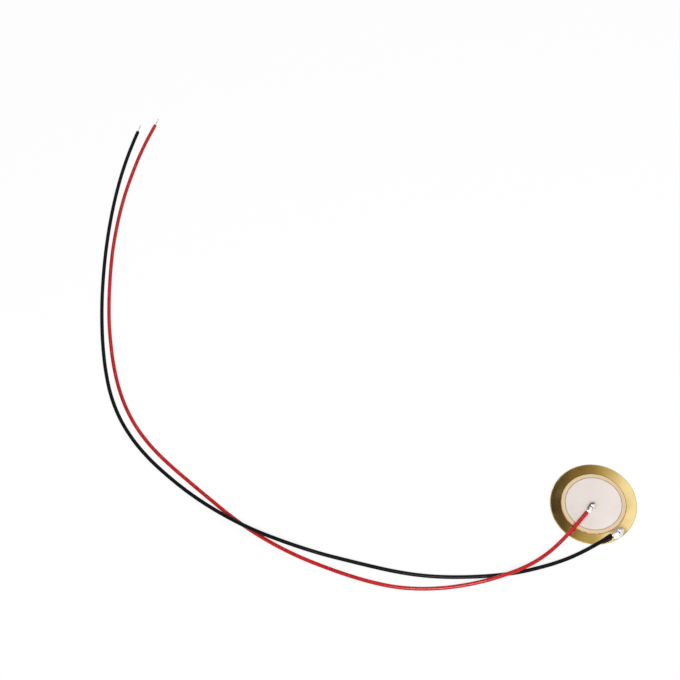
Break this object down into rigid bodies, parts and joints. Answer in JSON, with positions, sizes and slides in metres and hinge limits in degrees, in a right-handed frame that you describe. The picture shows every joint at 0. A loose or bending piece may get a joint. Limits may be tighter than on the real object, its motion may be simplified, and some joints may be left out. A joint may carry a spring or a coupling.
{
  "type": "piezo disc with leads",
  "caption": "Thin round brass plate with a silvered ceramic disc bonded on top, a red lead soldered to its middle and a black lead to the brass margin.",
  "frame": {"origin": "centre of the brass plate's underside, on the surface that the disc lies on", "axes": "+Z is square to the plate, towards the soldered side; the leads leave towards -X and -Y"},
  "size_m": [0.172, 0.1758, 0.0027],
  "materials": {
    "brass": "satin",
    "adhesive": "gloss",
    "ceramic": "matte",
    "silver": "matte",
    "solder": "gloss",
    "tinned_copper": "satin",
    "red_insulation": "satin",
    "black_insulation": "satin"
  },
  "bodies": {
    "root": {"brass_plate": "brass", "bond_film": "adhesive", "bottom_electrode": "silver", "ceramic_disc": "ceramic", "top_electrode": "silver", "centre_solder": "solder", "rim_solder": "solder", "red_lead": "red_insulation", "red_strands": "tinned_copper", "red_tinned_end": "tinned_copper", "black_lead": "black_insulation", "black_strands": "tinned_copper", "black_tinned_end": "tinned_copper"}
  },
  "joints": []
}
